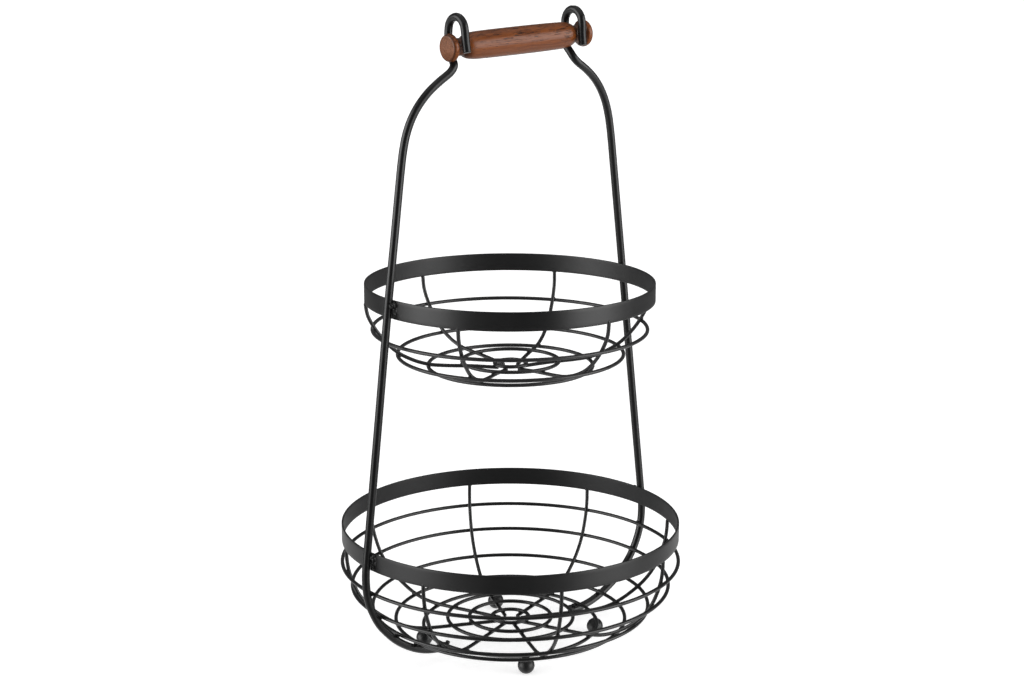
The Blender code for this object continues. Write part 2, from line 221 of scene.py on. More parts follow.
def tube(name, line, radius, sides=18, cyclic=False, seed=1, chamfer=0.35,
         swell=0.012):
    """A drawn wire swept along a line of points: round section that breathes
    a little along its length, and sheared flat ends with a soft edge."""
    line = np.asarray(line, float)
    n = len(line)
    if cyclic:
        tangent = np.roll(line, -1, 0) - np.roll(line, 1, 0)
    else:
        tangent = np.gradient(line, axis=0)
    tangent /= np.linalg.norm(tangent, axis=1)[:, None]
    ref = np.array([0.0, 0.0, 1.0])
    if abs(tangent[0] @ ref) > 0.9:
        ref = np.array([0.0, 1.0, 0.0])
    u = ref - tangent[0] * (ref @ tangent[0])
    u /= np.linalg.norm(u)
    frames = []
    for i in range(n):
        u = u - tangent[i] * (u @ tangent[i])
        u /= np.linalg.norm(u)
        frames.append((u.copy(), np.cross(tangent[i], u)))
    t = np.arange(n) / n
    rad = radius * (1 + swell * waves(t, seed, (5, 9, 14, 23)))
    rows = []
    if cyclic:
        rows = [(line[i], frames[i], rad[i], i) for i in range(n)]
    else:
        c = chamfer
        a, b = tangent[0], tangent[-1]
        rows.append((line[0], frames[0], rad[0] - c, 0))
        rows.append((line[0] + a * c * 0.35, frames[0], rad[0] - c * 0.35, 0))
        rows.append((line[0] + a * c, frames[0], rad[0], 0))
        lo = np.linalg.norm(line - line[0], axis=1) > 1.5 * c
        hi = np.linalg.norm(line - line[-1], axis=1) > 1.5 * c
        for i in range(1, n - 1):
            if lo[i] and hi[i]:
                rows.append((line[i], frames[i], rad[i], i))
        rows.append((line[-1] - b * c, frames[-1], rad[-1], n - 1))
        rows.append((line[-1] - b * c * 0.35, frames[-1], rad[-1] - c * 0.35,
                     n - 1))
        rows.append((line[-1], frames[-1], rad[-1] - c, n - 1))
    ang = 2 * math.pi * np.arange(sides) / sides
    verts = []
    for p, (e1, e2), r, _ in rows:
        verts.append(p + r * (np.cos(ang)[:, None] * e1
                              + np.sin(ang)[:, None] * e2))
    verts = np.vstack(verts)
    m = len(rows)
    faces = []
    for i in range(m if cyclic else m - 1):
        j = (i + 1) % m
        for k in range(sides):
            k2 = (k + 1) % sides
            faces.append((i * sides + k, i * sides + k2,
                          j * sides + k2, j * sides + k))
    if not cyclic:
        first = len(verts)
        verts = np.vstack([verts, line[0] + tangent[0] * 0.04,
                           line[-1] - tangent[-1] * 0.04])
        for k in range(sides):
            k2 = (k + 1) % sides
            faces.append((first, k2, k))
            base = (m - 1) * sides
            faces.append((first + 1, base + k, base + k2))
    return mesh_object(name, verts * MM, faces)


def lathe(name, profile, segments, place=None, wobble=None, clip=True):
    """Closed turned body.  profile: (radius, height) pairs, first and last on
    the axis or, if neither is, a closed section."""
    prof = np.asarray(profile, float)
    on_axis = prof[0, 0] < 1e-9 and prof[-1, 0] < 1e-9
    ang = 2 * math.pi * np.arange(segments) / segments
    body = prof[1:-1] if on_axis else prof
    verts = []
    for r, h in body:
        rr = np.full(segments, r)
        hh = np.full(segments, h)
        if wobble:
            rr, hh = wobble(ang, rr, hh)
        verts.append(np.stack([rr * np.cos(ang), rr * np.sin(ang), hh], 1))
    verts = np.vstack(verts)
    m = len(body)
    faces = []
    for i in range(m - 1 if on_axis else m):
        j = (i + 1) % m
        for k in range(segments):
            k2 = (k + 1) % segments
            faces.append((i * segments + k, i * segments + k2,
                          j * segments + k2, j * segments + k))
    if on_axis:
        first = len(verts)
        verts = np.vstack([verts, [[0, 0, prof[0, 1]], [0, 0, prof[-1, 1]]]])
        for k in range(segments):
            k2 = (k + 1) % segments
            faces.append((first, k2, k))
            base = (m - 1) * segments
            faces.append((first + 1, base + k, base + k2))
    if place is not None:
        verts = verts @ place[0].T + place[1]
    obj = mesh_object(name, verts * MM, faces, clip=clip)
    bm = bmesh.new()
    bm.from_mesh(obj.data)
    bmesh.ops.recalc_face_normals(bm, faces=bm.faces)
    bm.to_mesh(obj.data)
    bm.free()
    return obj


def polar(radius, degrees, z):
    a = math.radians(degrees)
    return np.array([radius * math.cos(a), radius * math.sin(a), z])


# ------------------------------------------------------------------ materials
class Nodes:
    """Short hand for building a node tree."""

    def __init__(self, mat):
        self.nt = mat.node_tree
        self.bsdf = self.nt.nodes["Principled BSDF"]
        self.coord = self.add("ShaderNodeTexCoord").outputs["Object"]

    def add(self, kind, **props):
        node = self.nt.nodes.new(kind)
        for k, v in props.items():
            setattr(node, k, v)
        return node

    def link(self, a, b):
        self.nt.links.new(a, b)

    def mapping(self, scale, location=(0, 0, 0), rotation=(0, 0, 0),
                source=None):
        node = self.add("ShaderNodeMapping")
        node.inputs["Scale"].default_value = scale
        node.inputs["Location"].default_value = location
        node.inputs["Rotation"].default_value = rotation
        self.link(source or self.coord, node.inputs["Vector"])
        return node.outputs["Vector"]

    def noise(self, vector, scale, detail=2.0, rough=0.5, distortion=0.0):
        node = self.add("ShaderNodeTexNoise")
        node.inputs["Scale"].default_value = scale
        node.inputs["Detail"].default_value = detail
        node.inputs["Roughness"].default_value = rough
        node.inputs["Distortion"].default_value = distortion
        self.link(vector, node.inputs["Vector"])
        return node.outputs["Fac"]

    def ramp(self, source, stops, interpolation="LINEAR"):
        node = self.add("ShaderNodeValToRGB")
        node.color_ramp.interpolation = interpolation
        els = node.color_ramp.elements
        while len(els) < len(stops):
            els.new(0.5)
        for e, (pos, col) in zip(els, stops):
            e.position = pos
            e.color = (*col, 1.0) if len(col) == 3 else col
        self.link(source, node.inputs["Fac"])
        return node.outputs["Color"]

    def remap(self, source, a, b, c, d, smooth=False):
        node = self.add("ShaderNodeMapRange")
        if smooth:
            node.interpolation_type = "SMOOTHSTEP"
        for name, v in (("From Min", a), ("From Max", b),
                        ("To Min", c), ("To Max", d)):
            node.inputs[name].default_value = v
        self.link(source, node.inputs["Value"])
        return node.outputs["Result"]

    def math(self, op, a, b=None, c=None):
        node = self.add("ShaderNodeMath", operation=op)
        for i, v in enumerate((a, b, c)):
            if v is None:
                continue
            if isinstance(v, (int, float)):
                node.inputs[i].default_value = v
            else:
                self.link(v, node.inputs[i])
        return node.outputs[0]

    def mix(self, fac, a, b, blend="MIX"):
        node = self.add("ShaderNodeMix", data_type="RGBA", blend_type=blend)
        if isinstance(fac, (int, float)):
            node.inputs[0].default_value = fac
        else:
            self.link(fac, node.inputs[0])
        for i, v in ((6, a), (7, b)):
            if isinstance(v, tuple):
                node.inputs[i].default_value = (*v, 1.0)
            else:
                self.link(v, node.inputs[i])
        return node.outputs[2]

    def bump(self, height, distance, strength=1.0, normal=None):
        node = self.add("ShaderNodeBump")
        node.inputs["Strength"].default_value = strength
        node.inputs["Distance"].default_value = distance
        self.link(height, node.inputs["Height"])
        if normal is not None:
            self.link(normal, node.inputs["Normal"])
        return node.outputs["Normal"]


def powder_coat(name, base, rough_low, rough_high, peel=1.0, inner=None,
                low_gloss=None, high_gloss=0.78):
    """Satin black polyester powder coat: fine orange peel, a finer, drier-looking
    grain over it, slow changes of gloss, a few dull dust nibs.  The sprayed
    coat is drier on the inside of a rim (inner), low on the stand (low_gloss)
    and in the hooks (high_gloss).  On the inside of a rim its colour is also
    lifted a little there: painted light."""
    mat = bpy.data.materials.new(name)
    mat.use_nodes = True
    n = Nodes(mat)
    peel_h = n.noise(n.coord, 620.0, 2.0, 0.45)
    grain_h = n.noise(n.coord, 3400.0, 2.0, 0.6)
    slow = n.noise(n.coord, 38.0, 3.0, 0.55)
    nib_src = n.noise(n.coord, 1150.0, 1.0, 0.4)
    nib = n.remap(nib_src, 0.735, 0.80, 0.0, 1.0, smooth=True)
    color = n.ramp(slow, ((0.30, tuple(c * 0.86 for c in base)),
                          (0.72, tuple(c * 1.16 for c in base))))
    color = n.mix(n.math("MULTIPLY", nib, 0.35), color,
                  tuple(c * 2.2 + 0.004 for c in base))
    n.link(color, n.bsdf.inputs["Base Color"])
    rough = n.remap(slow, 0.3, 0.72, rough_low, rough_high)
    rough = n.math("ADD", rough, n.remap(grain_h, 0.3, 0.7, -0.025, 0.025))
    rough = n.math("ADD", rough, n.math("MULTIPLY", nib, 0.08))
    gloss = None
    if inner is not None:
        facing = n.add("ShaderNodeVectorMath", operation="DOT_PRODUCT")
        coords = n.add("ShaderNodeTexCoord")
        n.link(coords.outputs["Normal"], facing.inputs[0])
        n.link(coords.outputs["Object"], facing.inputs[1])
        # mask of a rim's inside: a drier, rougher, less glossy coat there, and painted
        # light in its colour
        drier_coat_and_painted_light = n.remap(facing.outputs["Value"], -0.01, -0.08, 0.0, 1.0)
        gloss = n.math("SUBTRACT", 0.5, n.math("MULTIPLY", drier_coat_and_painted_light,
                                               0.5 * (1.0 - inner)))
        rough = n.math("ADD", rough, n.math("MULTIPLY", drier_coat_and_painted_light, 0.07))
        # painted light: the inside of a rim is painted a little lighter than the coat
        color = n.mix(drier_coat_and_painted_light, color, tuple(c + 0.0055 for c in base))
        n.link(color, n.bsdf.inputs["Base Color"])
    if low_gloss is not None:
        split = n.add("ShaderNodeSeparateXYZ")
        n.link(n.add("ShaderNodeTexCoord").outputs["Object"], split.inputs[0])
        gloss = n.remap(split.outputs["Z"], 0.16, 0.36, 0.5 * low_gloss, 0.5,
                        smooth=True)
        gloss = n.math("MULTIPLY", gloss,
                       n.remap(split.outputs["Z"], 0.466, 0.486, 1.0,
                               high_gloss, smooth=True))
    n.link(rough, n.bsdf.inputs["Roughness"])
    first = n.bump(peel_h, 0.000030 * peel)
    second = n.bump(grain_h, 0.0000035 * peel, normal=first)
    third = n.bump(nib, 0.000010, normal=second)
    n.link(third, n.bsdf.inputs["Normal"])
    if gloss is None:
        n.bsdf.inputs["Specular IOR Level"].default_value = 0.5
    else:
        n.link(gloss, n.bsdf.inputs["Specular IOR Level"])
    n.bsdf.inputs["IOR"].default_value = 1.5
    n.bsdf.inputs["Metallic"].default_value = 0.0
    return mat


def oiled_wood(name):
    """Reddish brown open-pored hardwood, turned and oiled.  The grain runs
    along the object's X axis."""
    mat = bpy.data.materials.new(name)
    mat.use_nodes = True
    n = Nodes(mat)
    mm = n.mapping((1000.0, 1000.0, 1000.0))        # object space in mm
    # slow wander of the grain, mostly along the length
    wander = n.noise(n.mapping((0.020, 0.06, 0.06), source=mm), 1.0, 2.0, 0.5)
    wander2 = n.noise(n.mapping((0.025, 0.08, 0.08), (7.3, 2.1, 5.5),
                                source=mm), 1.0, 2.0, 0.5)
    sep = n.add("ShaderNodeSeparateXYZ")
    n.link(mm, sep.inputs[0])
    y = n.math("ADD", sep.outputs["Y"], n.remap(wander, 0, 1, -5.0, 5.0))
    z = n.math("ADD", sep.outputs["Z"], n.remap(wander2, 0, 1, -5.0, 5.0))
    # growth rings round a pith well outside the piece
    dy = n.math("SUBTRACT", y, 23.0)
    dz = n.math("SUBTRACT", z, -31.0)
    ring_r = n.math("SQRT", n.math("ADD", n.math("MULTIPLY", dy, dy),
                                   n.math("MULTIPLY", dz, dz)))
    ring_pos = n.math("MULTIPLY", ring_r, 0.37)
    uneven = n.noise(n.mapping((0.004, 0.35, 0.35), source=mm), 1.0, 1.0, 0.5)
    ring_pos = n.math("ADD", ring_pos, n.remap(uneven, 0, 1, -0.45, 0.45))
    ring = n.math("FRACT", ring_pos)
    late = n.remap(ring, 0.35, 0.97, 0.0, 1.0, smooth=True)
    edge = n.remap(ring, 0.965, 1.0, 1.0, 0.0)
    late = n.math("MULTIPLY", late, edge)
    # fibres and pores are long in X
    fibre = n.noise(n.mapping((0.055, 2.6, 2.6), source=mm), 1.0, 3.0, 0.6)
    fibre_fine = n.noise(n.mapping((0.16, 7.0, 7.0), source=mm), 1.0, 2.0,
                         0.6)
    pore_src = n.noise(n.mapping((0.13, 1.75, 1.75), (3.1, 0.7, 9.2),
                                 source=mm), 1.0, 1.5, 0.5)
    pore_mask = n.noise(n.mapping((0.035, 0.22, 0.22), (1.9, 4.4, 2.2),
                                  source=mm), 1.0, 2.0, 0.5)
    gate = n.remap(pore_mask, 0.42, 0.62, 0.0, 0.075)
    pore_edge = n.math("ADD", pore_src, gate)
    pore_edge = n.math("ADD", pore_edge,
                       n.remap(sep.outputs["Z"], -2.5, 6.5, -0.052, 0.050))
    pore = n.remap(pore_edge, 0.665, 0.705, 0.0, 1.0, smooth=True)
    small_src = n.noise(n.mapping((0.30, 4.2, 4.2), (8.1, 3.3, 1.4),
                                  source=mm), 1.0, 1.0, 0.5)
    small = n.remap(small_src, 0.66, 0.72, 0.0, 1.0, smooth=True)
    # colour
    base = n.ramp(fibre, ((0.22, (0.120, 0.032, 0.007)),
                          (0.50, (0.206, 0.059, 0.014)),
                          (0.80, (0.302, 0.095, 0.025))))
    base = n.mix(n.math("MULTIPLY", late, 0.62), base,
                 (0.100, 0.026, 0.007))
    blotch = n.noise(n.mapping((0.03, 0.10, 0.10), (5.0, 1.0, 3.0),
                               source=mm), 1.0, 2.0, 0.5)
    base = n.mix(n.remap(blotch, 0.35, 0.7, 0.0, 0.50), base,
                 (0.268, 0.080, 0.019))
    base = n.mix(n.remap(fibre_fine, 0.3, 0.75, 0.0, 0.36), base,
                 (0.118, 0.033, 0.010))
    base = n.mix(n.math("MULTIPLY", small, 0.55), base,
                 (0.055, 0.017, 0.008))
    base = n.mix(n.math("MULTIPLY", pore, 0.92), base,
                 (0.018, 0.007, 0.004))
    # end grain, where the surface faces along the fibres: paler and mottled
    geo = n.add("ShaderNodeTexCoord")
    sepn = n.add("ShaderNodeSeparateXYZ")
    n.link(geo.outputs["Normal"], sepn.inputs[0])
    end = n.remap(n.math("ABSOLUTE", sepn.outputs["X"]), 0.80, 0.97, 0.0, 1.0,
                  smooth=True)
    end_noise = n.noise(n.mapping((1.0, 1.0, 1.0), source=mm), 1.3, 3.0, 0.65)
    end_col = n.ramp(end_noise, ((0.34, (0.112, 0.040, 0.019)),
                                 (0.52, (0.205, 0.088, 0.047)),
                                 (0.70, (0.320, 0.150, 0.086))))
    end_col = n.mix(n.math("MULTIPLY", late, 0.40), end_col,
                    (0.140, 0.058, 0.030))
    end_col = n.mix(n.math("MULTIPLY", small, 0.50), end_col,
                    (0.080, 0.034, 0.020))
    end_col = n.mix(n.math("MULTIPLY", pore, 0.75), end_col,
                    (0.040, 0.018, 0.011))
    base = n.mix(n.math("MULTIPLY", end, 0.85), base, end_col)
    # painted shade: darker below, in the coves of the necks, on the knobs' sides that face
    # the barrel, on the knobs' turned edges, under the shoulders and along the lowest line
    below = n.remap(sep.outputs["Z"], -10.5, -0.5, 0.44, 0.0)
    base = n.mix(below, base, (0.030, 0.009, 0.004))
    y0, z0 = sep.outputs["Y"], sep.outputs["Z"]
    radial = n.math("SQRT", n.math("ADD", n.math("MULTIPLY", y0, y0),
                                   n.math("MULTIPLY", z0, z0)))
    along = n.math("ABSOLUTE", sep.outputs["X"])
    # painted shade in the coves of the necks
    cove = n.math("MULTIPLY", n.remap(radial, 9.4, 7.2, 0.0, 0.72,
                                      smooth=True),
                  n.remap(along, 64.6, 63.4, 0.0, 1.0))
    base = n.mix(cove, base, (0.022, 0.007, 0.003))
    # painted shade on the knobs' sides that face the barrel
    inner = n.math("MULTIPLY", n.remap(along, 60.5, 61.5, 0.0, 1.0),
                   n.remap(along, 64.6, 63.6, 0.0, 0.62, smooth=True))
    base = n.mix(inner, base, (0.034, 0.011, 0.005))
    # painted shade: a dark line along the knobs' face edges
    rim = n.math("MULTIPLY", n.remap(along, 67.2, 68.3, 0.0, 0.72,
                                     smooth=True),
                 n.remap(radial, 9.0, 9.5, 0.0, 1.0, smooth=True))
    base = n.mix(rim, base, (0.040, 0.014, 0.007))
    # painted shade under the shoulders
    under = n.math("MULTIPLY", n.remap(along, 47.5, 52.5, 0.0, 0.60,
                                       smooth=True),
                   n.remap(sep.outputs["Z"], 0.0, -4.5, 0.0, 1.0))
    under = n.math("MULTIPLY", under, n.remap(along, 57.0, 55.0, 0.0, 1.0))
    base = n.mix(under, base, (0.022, 0.007, 0.003))
    # painted shade along the lowest line of the grip
    lowest = n.remap(sep.outputs["Z"], -9.2, -10.8, 0.0, 0.65)
    base = n.mix(lowest, base, (0.022, 0.007, 0.003))
    n.link(base, n.bsdf.inputs["Base Color"])
    rough = n.remap(fibre, 0.2, 0.8, 0.42, 0.33)
    rough = n.math("ADD", rough, n.math("MULTIPLY", pore, 0.25))
    rough = n.math("ADD", rough, n.math("MULTIPLY", end, 0.14))
    n.link(rough, n.bsdf.inputs["Roughness"])
    h = n.math("SUBTRACT", n.math("MULTIPLY", fibre, 0.35),
               n.math("MULTIPLY", pore, 0.9))
    h = n.math("SUBTRACT", h, n.math("MULTIPLY", small, 0.35))
    h = n.math("ADD", h, n.math("MULTIPLY", fibre_fine, 0.22))
    h = n.math("SUBTRACT", h, n.math("MULTIPLY", late, 0.10))
    skin = n.bump(h, 0.00011)
    n.link(skin, n.bsdf.inputs["Normal"])
    n.link(skin, n.bsdf.inputs["Coat Normal"])
    n.bsdf.inputs["IOR"].default_value = 1.47
    n.bsdf.inputs["Specular IOR Level"].default_value = 0.04
    n.bsdf.inputs["Specular Tint"].default_value = (1.0, 0.80, 0.68, 1.0)
    # the oil is thin below and on the shoulders' undersides
    thin = n.remap(sep.outputs["Z"], -5.0, -9.5, 0.0, 0.42)
    shoulder = n.math("MULTIPLY", n.remap(along, 47.0, 52.0, 0.0, 0.50,
                                          smooth=True),
                      n.remap(sep.outputs["Z"], 0.0, -5.0, 0.0, 1.0))
    coat = n.math("SUBTRACT", 0.72, n.math("MAXIMUM", thin, shoulder))
    n.link(coat, n.bsdf.inputs["Coat Weight"])
    n.bsdf.inputs["Coat Roughness"].default_value = 0.19
    n.bsdf.inputs["Coat IOR"].default_value = 1.45
    n.bsdf.inputs["Coat Tint"].default_value = (1.0, 0.95, 0.90, 1.0)
    return mat


COAT = powder_coat("satin_black_powder_coat_wire", (0.0062, 0.0062, 0.0064),
                   0.27, 0.34)
# painted light: the upper bowl's wires are the same coat as the lower's, painted lighter
# for how they are lit
COAT_UPPER_PAINTED_LIGHTER = powder_coat("satin_black_powder_coat_upper_wire_painted_lighter",
                         (0.0145, 0.0140, 0.0147), 0.30, 0.38)
COAT_BAND = {
    "lower_rim_band": powder_coat("satin_black_powder_coat_lower_rim",
                                  (0.0064, 0.0064, 0.0066), 0.32, 0.38,
                                  peel=0.9, inner=0.56),
    "upper_rim_band": powder_coat("satin_black_powder_coat_upper_rim",
                                  (0.0066, 0.0066, 0.0068), 0.32, 0.38,
                                  peel=0.9, inner=0.90),
}
COAT_LEFT = powder_coat("satin_black_powder_coat_left_upright",
                        (0.0060, 0.0060, 0.0062), 0.27, 0.34, low_gloss=0.62)
COAT_RIGHT = powder_coat("satin_black_powder_coat_right_upright",
                         (0.0060, 0.0060, 0.0062), 0.27, 0.34, low_gloss=1.0)
COAT_FEET = powder_coat("satin_black_powder_coat_feet",
                        (0.0085, 0.0085, 0.0088), 0.38, 0.46)
WOOD = oiled_wood("oiled_open_pored_hardwood")


def dress(obj, mat, body="frame", node=None):
    obj.data.materials.clear()
    obj.data.materials.append(mat)
    if node:
        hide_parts(node)
    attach(obj, body)
    return obj


def metal(obj, node=None):
    coat = COAT
    if obj.name.startswith(("upper_rib", "upper_wall_ring",
                            "upper_floor_ring")):
        # the upper bowl's wires take the lighter copy of the coat: painted light
        coat = COAT_UPPER_PAINTED_LIGHTER
    elif node == "left_upright":
        coat = COAT_LEFT
    elif node == "right_upright":
        coat = COAT_RIGHT
    elif node and (node.startswith("ball_foot") or (
            node.startswith("lower") and node.endswith("weld_bead"))):
        coat = COAT_FEET
    return dress(obj, coat, "frame", node)


# --------------------------------------------------------------------- pieces
def make_band(name, radius, top, node, seed):
    """Rolled flat bar with softly rounded corners, very slightly out of
    round."""
    inner = radius - BAND_T
    c = 0.42
    profile = []
    corners = ((inner, -BAND_H, 180, 270), (radius, -BAND_H, 270, 360),
               (radius, 0.0, 0, 90), (inner, 0.0, 90, 180))
    for r, z, a0, a1 in corners:
        cr = r + c if r == inner else r - c
        cz = z + c if z < -1 else z - c
        for a in np.linspace(a0, a1, 6):
            profile.append((cr + c * math.cos(math.radians(a)),
                            cz + c * math.sin(math.radians(a))))
        if a1 == 360:
            profile += [(radius, z_) for z_ in (-12.0, -9.0, -6.0, -3.0)]
        if a1 == 180:
            profile += [(inner, z_) for z_ in (-3.0, -6.0, -9.0, -12.0)]
    tidy = []
    for p in profile:
        if not tidy or math.dist(p, tidy[-1]) > 1e-4:
            tidy.append(p)

    def wobble(ang, rr, hh):
        t = ang / (2 * math.pi)
        lean = (hh / BAND_H + 0.5) * 0.07 * waves(t, seed + 3, (4, 7, 11, 17))
        if node in OVAL:
            at, out, back = OVAL[node]
            c = np.cos(ang - math.radians(at))
            lean = lean + (out * (0.5 + 0.5 * c) ** 2
                           - back * (0.5 - 0.5 * c) ** 2)
        return (rr + 0.07 * waves(t, seed, (3, 5, 8, 13)) + lean,
                hh + 0.05 * waves(t, seed + 9, (2, 5, 9, 12)))

    obj = lathe(name, tidy, 420, (np.eye(3), np.array([0, 0, top])), wobble)
    return dress(obj, COAT_BAND[node], "frame", node)


def ring_line(radius, z, seed, count=None, amount=0.10):
    count = count or max(72, int(radius * 1.9))
    t = np.arange(count) / count
    a = 2 * math.pi * t
    r = radius + amount * waves(t, seed, (2, 3, 5, 8))
    zz = z + 0.6 * amount * waves(t, seed + 5, (2, 4, 5, 9))
    return np.stack([r * np.cos(a), r * np.sin(a), zz], 1)


def make_ring(name, radius, z, node, seed):
    line = ring_line(radius, z, seed)
    if node in SAGS:
        at, inward, down = SAGS[node]
        a = np.arctan2(line[:, 1], line[:, 0]) - math.radians(at)
        part = (0.5 + 0.5 * np.cos(a)) ** 2
        line[:, :2] *= 1.0 - (inward * part / radius)[:, None]
        line[:, 2] -= down * part
    obj = tube(name, line, COATED, cyclic=True, seed=seed)
    return metal(obj, node)


def lean_at(lean, z):
    return lean * -z / 80.0


def rib_angle_at(angle, lean, r, z):
    """Degrees from +X of a rib where it is r from the middle, z below the
    rim top."""
    return angle + math.degrees(math.atan2(lean_at(lean, z), r))


def rib_line(profile, top, angle, lean):
    flat = catmull([(r, 0.0, z) for r, z in profile], 1.4)
    a = math.radians(angle)
    side = np.array([lean_at(lean, z) for z in flat[:, 2]])
    return np.stack([flat[:, 0] * math.cos(a) - side * math.sin(a),
                     flat[:, 0] * math.sin(a) + side * math.cos(a),
                     top + flat[:, 2]], 1)


def make_rib(name, profile, top, angle, lean, node, seed):
    more = RIB_TOPS.get(node, 0.0)
    line = rib_line(((profile[0][0] + more, profile[0][1] + 0.3),
                     (profile[1][0] + 0.5 * more, profile[1][1]))
                    + profile[2:], top, angle, lean)
    return metal(tube(name, line, COATED, seed=seed), node)


def rib_nearest(profile, r, z):
    """Point of the rib's centre line nearest to (r, z)."""
    line = catmull([(rr, 0.0, zz) for rr, zz in profile], 0.5)
    d = np.hypot(line[:, 0] - r, line[:, 2] - z)
    i = int(np.argmin(d))
    return line[i, 0], line[i, 2]


# ----------------------------------------------------------------- weld spots
class Spots:
    """Small blobs of weld under the coat, gathered into one mesh."""

    def __init__(self):
        self.verts, self.faces, self.count = [], [], 0

    def add(self, center, axes, sizes, seed, rough=0.10, rings=9, segs=16):
        """axes: three unit vectors, sizes: the half size along each."""
        center = np.asarray(center, float)
        axes = [np.asarray(a, float) for a in axes]
        base = self.count
        pts = []
        for i in range(1, rings):
            phi = math.pi * i / rings
            for k in range(segs):
                th = 2 * math.pi * k / segs
                pts.append((math.sin(phi) * math.cos(th),
                            math.sin(phi) * math.sin(th), math.cos(phi)))
        pts += [(0, 0, 1), (0, 0, -1)]
        d = np.array(pts)
        bump = (np.sin(3.1 * d[:, 0] + 1.7 * seed)
                * np.sin(2.7 * d[:, 1] + 2.3 * seed)
                + 0.6 * np.sin(5.3 * d[:, 2] + 4.1 * d[:, 0] + seed))
        d = d * (1 + rough * bump)[:, None]
        world = center + sum((d[:, i] * sizes[i])[:, None] * axes[i]
                             for i in range(3))
        self.verts.append(world)
        n = rings - 1
        top, bottom = base + n * segs, base + n * segs + 1
        for i in range(n - 1):
            for k in range(segs):
                k2 = (k + 1) % segs
                self.faces.append((base + i * segs + k,
                                   base + (i + 1) * segs + k,
                                   base + (i + 1) * segs + k2,
                                   base + i * segs + k2))
        for k in range(segs):
            k2 = (k + 1) % segs
            self.faces.append((top, base + k, base + k2))
            self.faces.append((bottom, base + (n - 1) * segs + k2,
                               base + (n - 1) * segs + k))
        self.count += len(d)

    def build(self, name):
        obj = mesh_object(name, np.vstack(self.verts) * MM, self.faces, 0)
        return metal(obj)


def unit(v):
    v = np.asarray(v, float)
    return v / np.linalg.norm(v)


def basis(normal, along):
    n = unit(normal)
    a = unit(np.asarray(along, float) - n * (n @ np.asarray(along, float)))
    return a, np.cross(n, a), n


# -------------------------------------------------------------- build the rims
make_band("lower_rim_flat_bar", LOWER_R, LOWER_Z, "lower_rim_band", 1)
make_band("upper_rim_flat_bar", UPPER_R, UPPER_Z, "upper_rim_band", 4)

# ------------------------------------------------------------- build the bowls
BOWLS = {}
for prefix, top, profile, angles, leans, rings, seed in (
        ("lower", LOWER_Z, LOWER_RIB, LOWER_RIB_ANGLES, LOWER_RIB_LEANS,
         LOWER_RINGS, 11),
        ("upper", UPPER_Z, UPPER_RIB, UPPER_RIB_ANGLES, UPPER_RIB_LEANS,
         UPPER_RINGS, 41)):
    for i, (angle, lean) in enumerate(zip(angles, leans)):
        make_rib(f"{prefix}_rib_wire_{i + 1}", profile, top, angle, lean,
                 f"{prefix}_rib_{i + 1}", seed + i)
    drawn = {}                         # node: (radius, z) as drawn here
    for node, r, z in rings:
        br, bz = rib_nearest(profile, r, z)
        away = np.array([r - br, z - bz]) / math.hypot(r - br, z - bz)
        near = SUNK.get(node, CLOSER)
        drawn[node] = (r - near * away[0], z - near * away[1])
    if prefix == "lower":
        drawn["foot_ring"] = (FOOT_CIRCLE, FOOT_RING_Z + 0.15 - top)
    for i, (node, (r, z)) in enumerate(drawn.items()):
        make_ring(node + "_wire", r, top + z, node, seed + 20 + i)
    BOWLS[prefix] = (top, profile, angles, leans, drawn)

# --------------------------------------------------------- build the uprights
UPRIGHT_LINES = {}
for name, side, route in (("left", -1, LEFT_ROUTE), ("right", 1, RIGHT_ROUTE)):
    line = catmull([(side * x, y, LOWER_Z + z) for x, y, z in route], 1.3)
    UPRIGHT_LINES[name] = line
    obj = tube(f"{name}_upright_wire", line, THICK_COATED, sides=36,
               seed=91 + side, chamfer=0.55, swell=0.004)
    metal(obj, f"{name}_upright")


# ------------------------------------------------------------- build the feet
def foot_profile():
    pts = [(0.0, -FOOT_Z), (FOOT_FLAT_R * 0.9, -FOOT_Z)]
    low = math.asin(FOOT_Z / FOOT_R)
    r = FOOT_R + 0.15                  # with its coat
    for a in np.linspace(-low + 0.03, math.pi / 2, 34)[:-1]:
        pts.append((r * math.cos(a), r * math.sin(a)))
    pts.append((0.0, r))
    return pts


FEET = {"back_right": 0, "back_left": 1, "front_left": 2, "front_right": 3}
for place, i in FEET.items():
    at = polar(FOOT_CIRCLE, FOOT_PHASE + 90.0 * i, FOOT_Z)
    obj = lathe(f"ball_foot_{place}_turned", foot_profile(), 56,
                (np.eye(3), at))
    metal(obj, f"ball_foot_{place}")

# ----------------------------------------------------------- weld every cross
SPOTS = {"lower": Spots(), "upper": Spots()}
UP = np.array([0.0, 0.0, 1.0])
for seed, (prefix, (top, profile, angles, leans, drawn)) in enumerate(
        BOWLS.items(), 1):
    spots = SPOTS[prefix]
    for j, (angle, lean) in enumerate(zip(angles, leans)):
        for k, (node, (r, z)) in enumerate(drawn.items()):
            br, bz = rib_nearest(profile, r, z)
            out = polar(1.0, rib_angle_at(angle, lean, r, z), 0.0)
            side = np.cross(UP, out)
            mid = out * (r + br) / 2 + UP * (top + (z + bz) / 2)
            normal = unit(out * (r - br) + UP * (z - bz))
            s = 1.0 + 0.14 * math.sin(7.1 * j + 3.3 * k + seed)
            a, b, n = basis(normal, side)
            spots.add(mid, (a, b, n), (1.75 * s, 1.75 * s, 0.95),
                      seed * 50 + j * 9 + k)
        # the rib's top under the rim, and the flat dimple it leaves
        r0 = profile[0][0] + RIB_TOPS.get(f"{prefix}_rib_{j + 1}", 0.0)
        out = polar(1.0, angle, 0.0)
        side = np.cross(UP, out)
        spots.add(out * r0 + UP * (top - BAND_H + 0.1), (side, UP, out),
                  (1.85, 0.8, 1.2), seed * 77 + j, rough=0.06)
        spots.add(out * (r0 + 0.35) + UP * (top - BAND_H + 1.1),
                  (side, UP, out), (1.45, 1.55, 0.62), seed * 91 + j,
                  rough=0.05)

